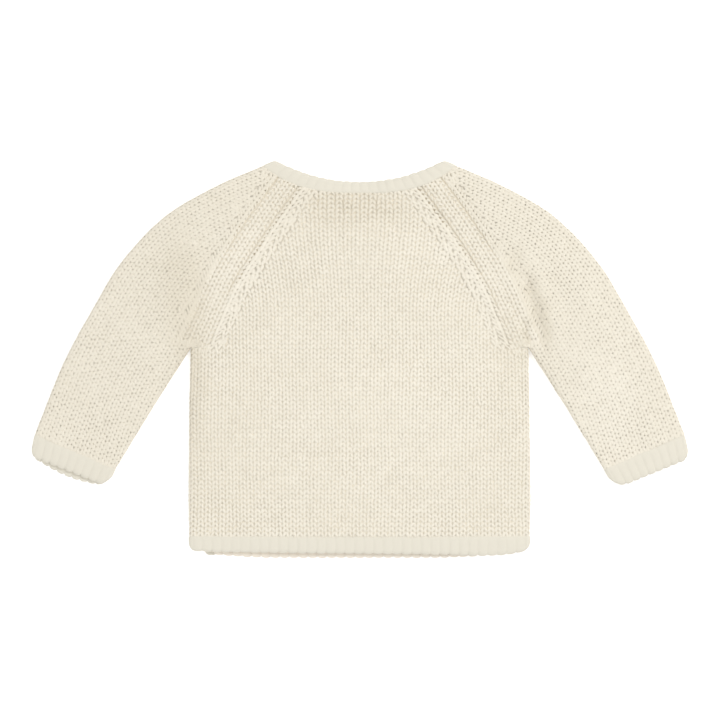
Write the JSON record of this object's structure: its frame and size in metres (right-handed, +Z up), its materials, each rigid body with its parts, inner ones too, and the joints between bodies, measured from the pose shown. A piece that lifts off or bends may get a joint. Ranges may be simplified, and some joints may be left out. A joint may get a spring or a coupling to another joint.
{
  "type": "wrap sweater",
  "caption": "Baby's long-sleeved raglan wrap cardigan in chunky knit, laid flat with its back up, with a scooped neck, a crossed front and loop-edged bands at the hem, cuffs and neck.",
  "frame": {"origin": "under the middle of the outline, on the surface that the garment lies on", "axes": "+X across the garment from its left sleeve as laid to its right one, +Y from the hem to the neck, +Z up through the back"},
  "size_m": [0.5028, 0.3047, 0.0098],
  "materials": {
    "knit": "matt chunky cotton knit in cream",
    "band": "matt knitted edge band in cream"
  },
  "bodies": {
    "root": {"back": "knit", "front_left": "knit", "front_right": "knit", "sleeve_left": "knit", "sleeve_right": "knit", "hem_back": "band", "hem_front_left": "band", "hem_front_right": "band", "cuff_left": "band", "cuff_right": "band", "neckband": "band", "wrap_band_left": "band", "wrap_band_right": "band"}
  },
  "joints": []
}
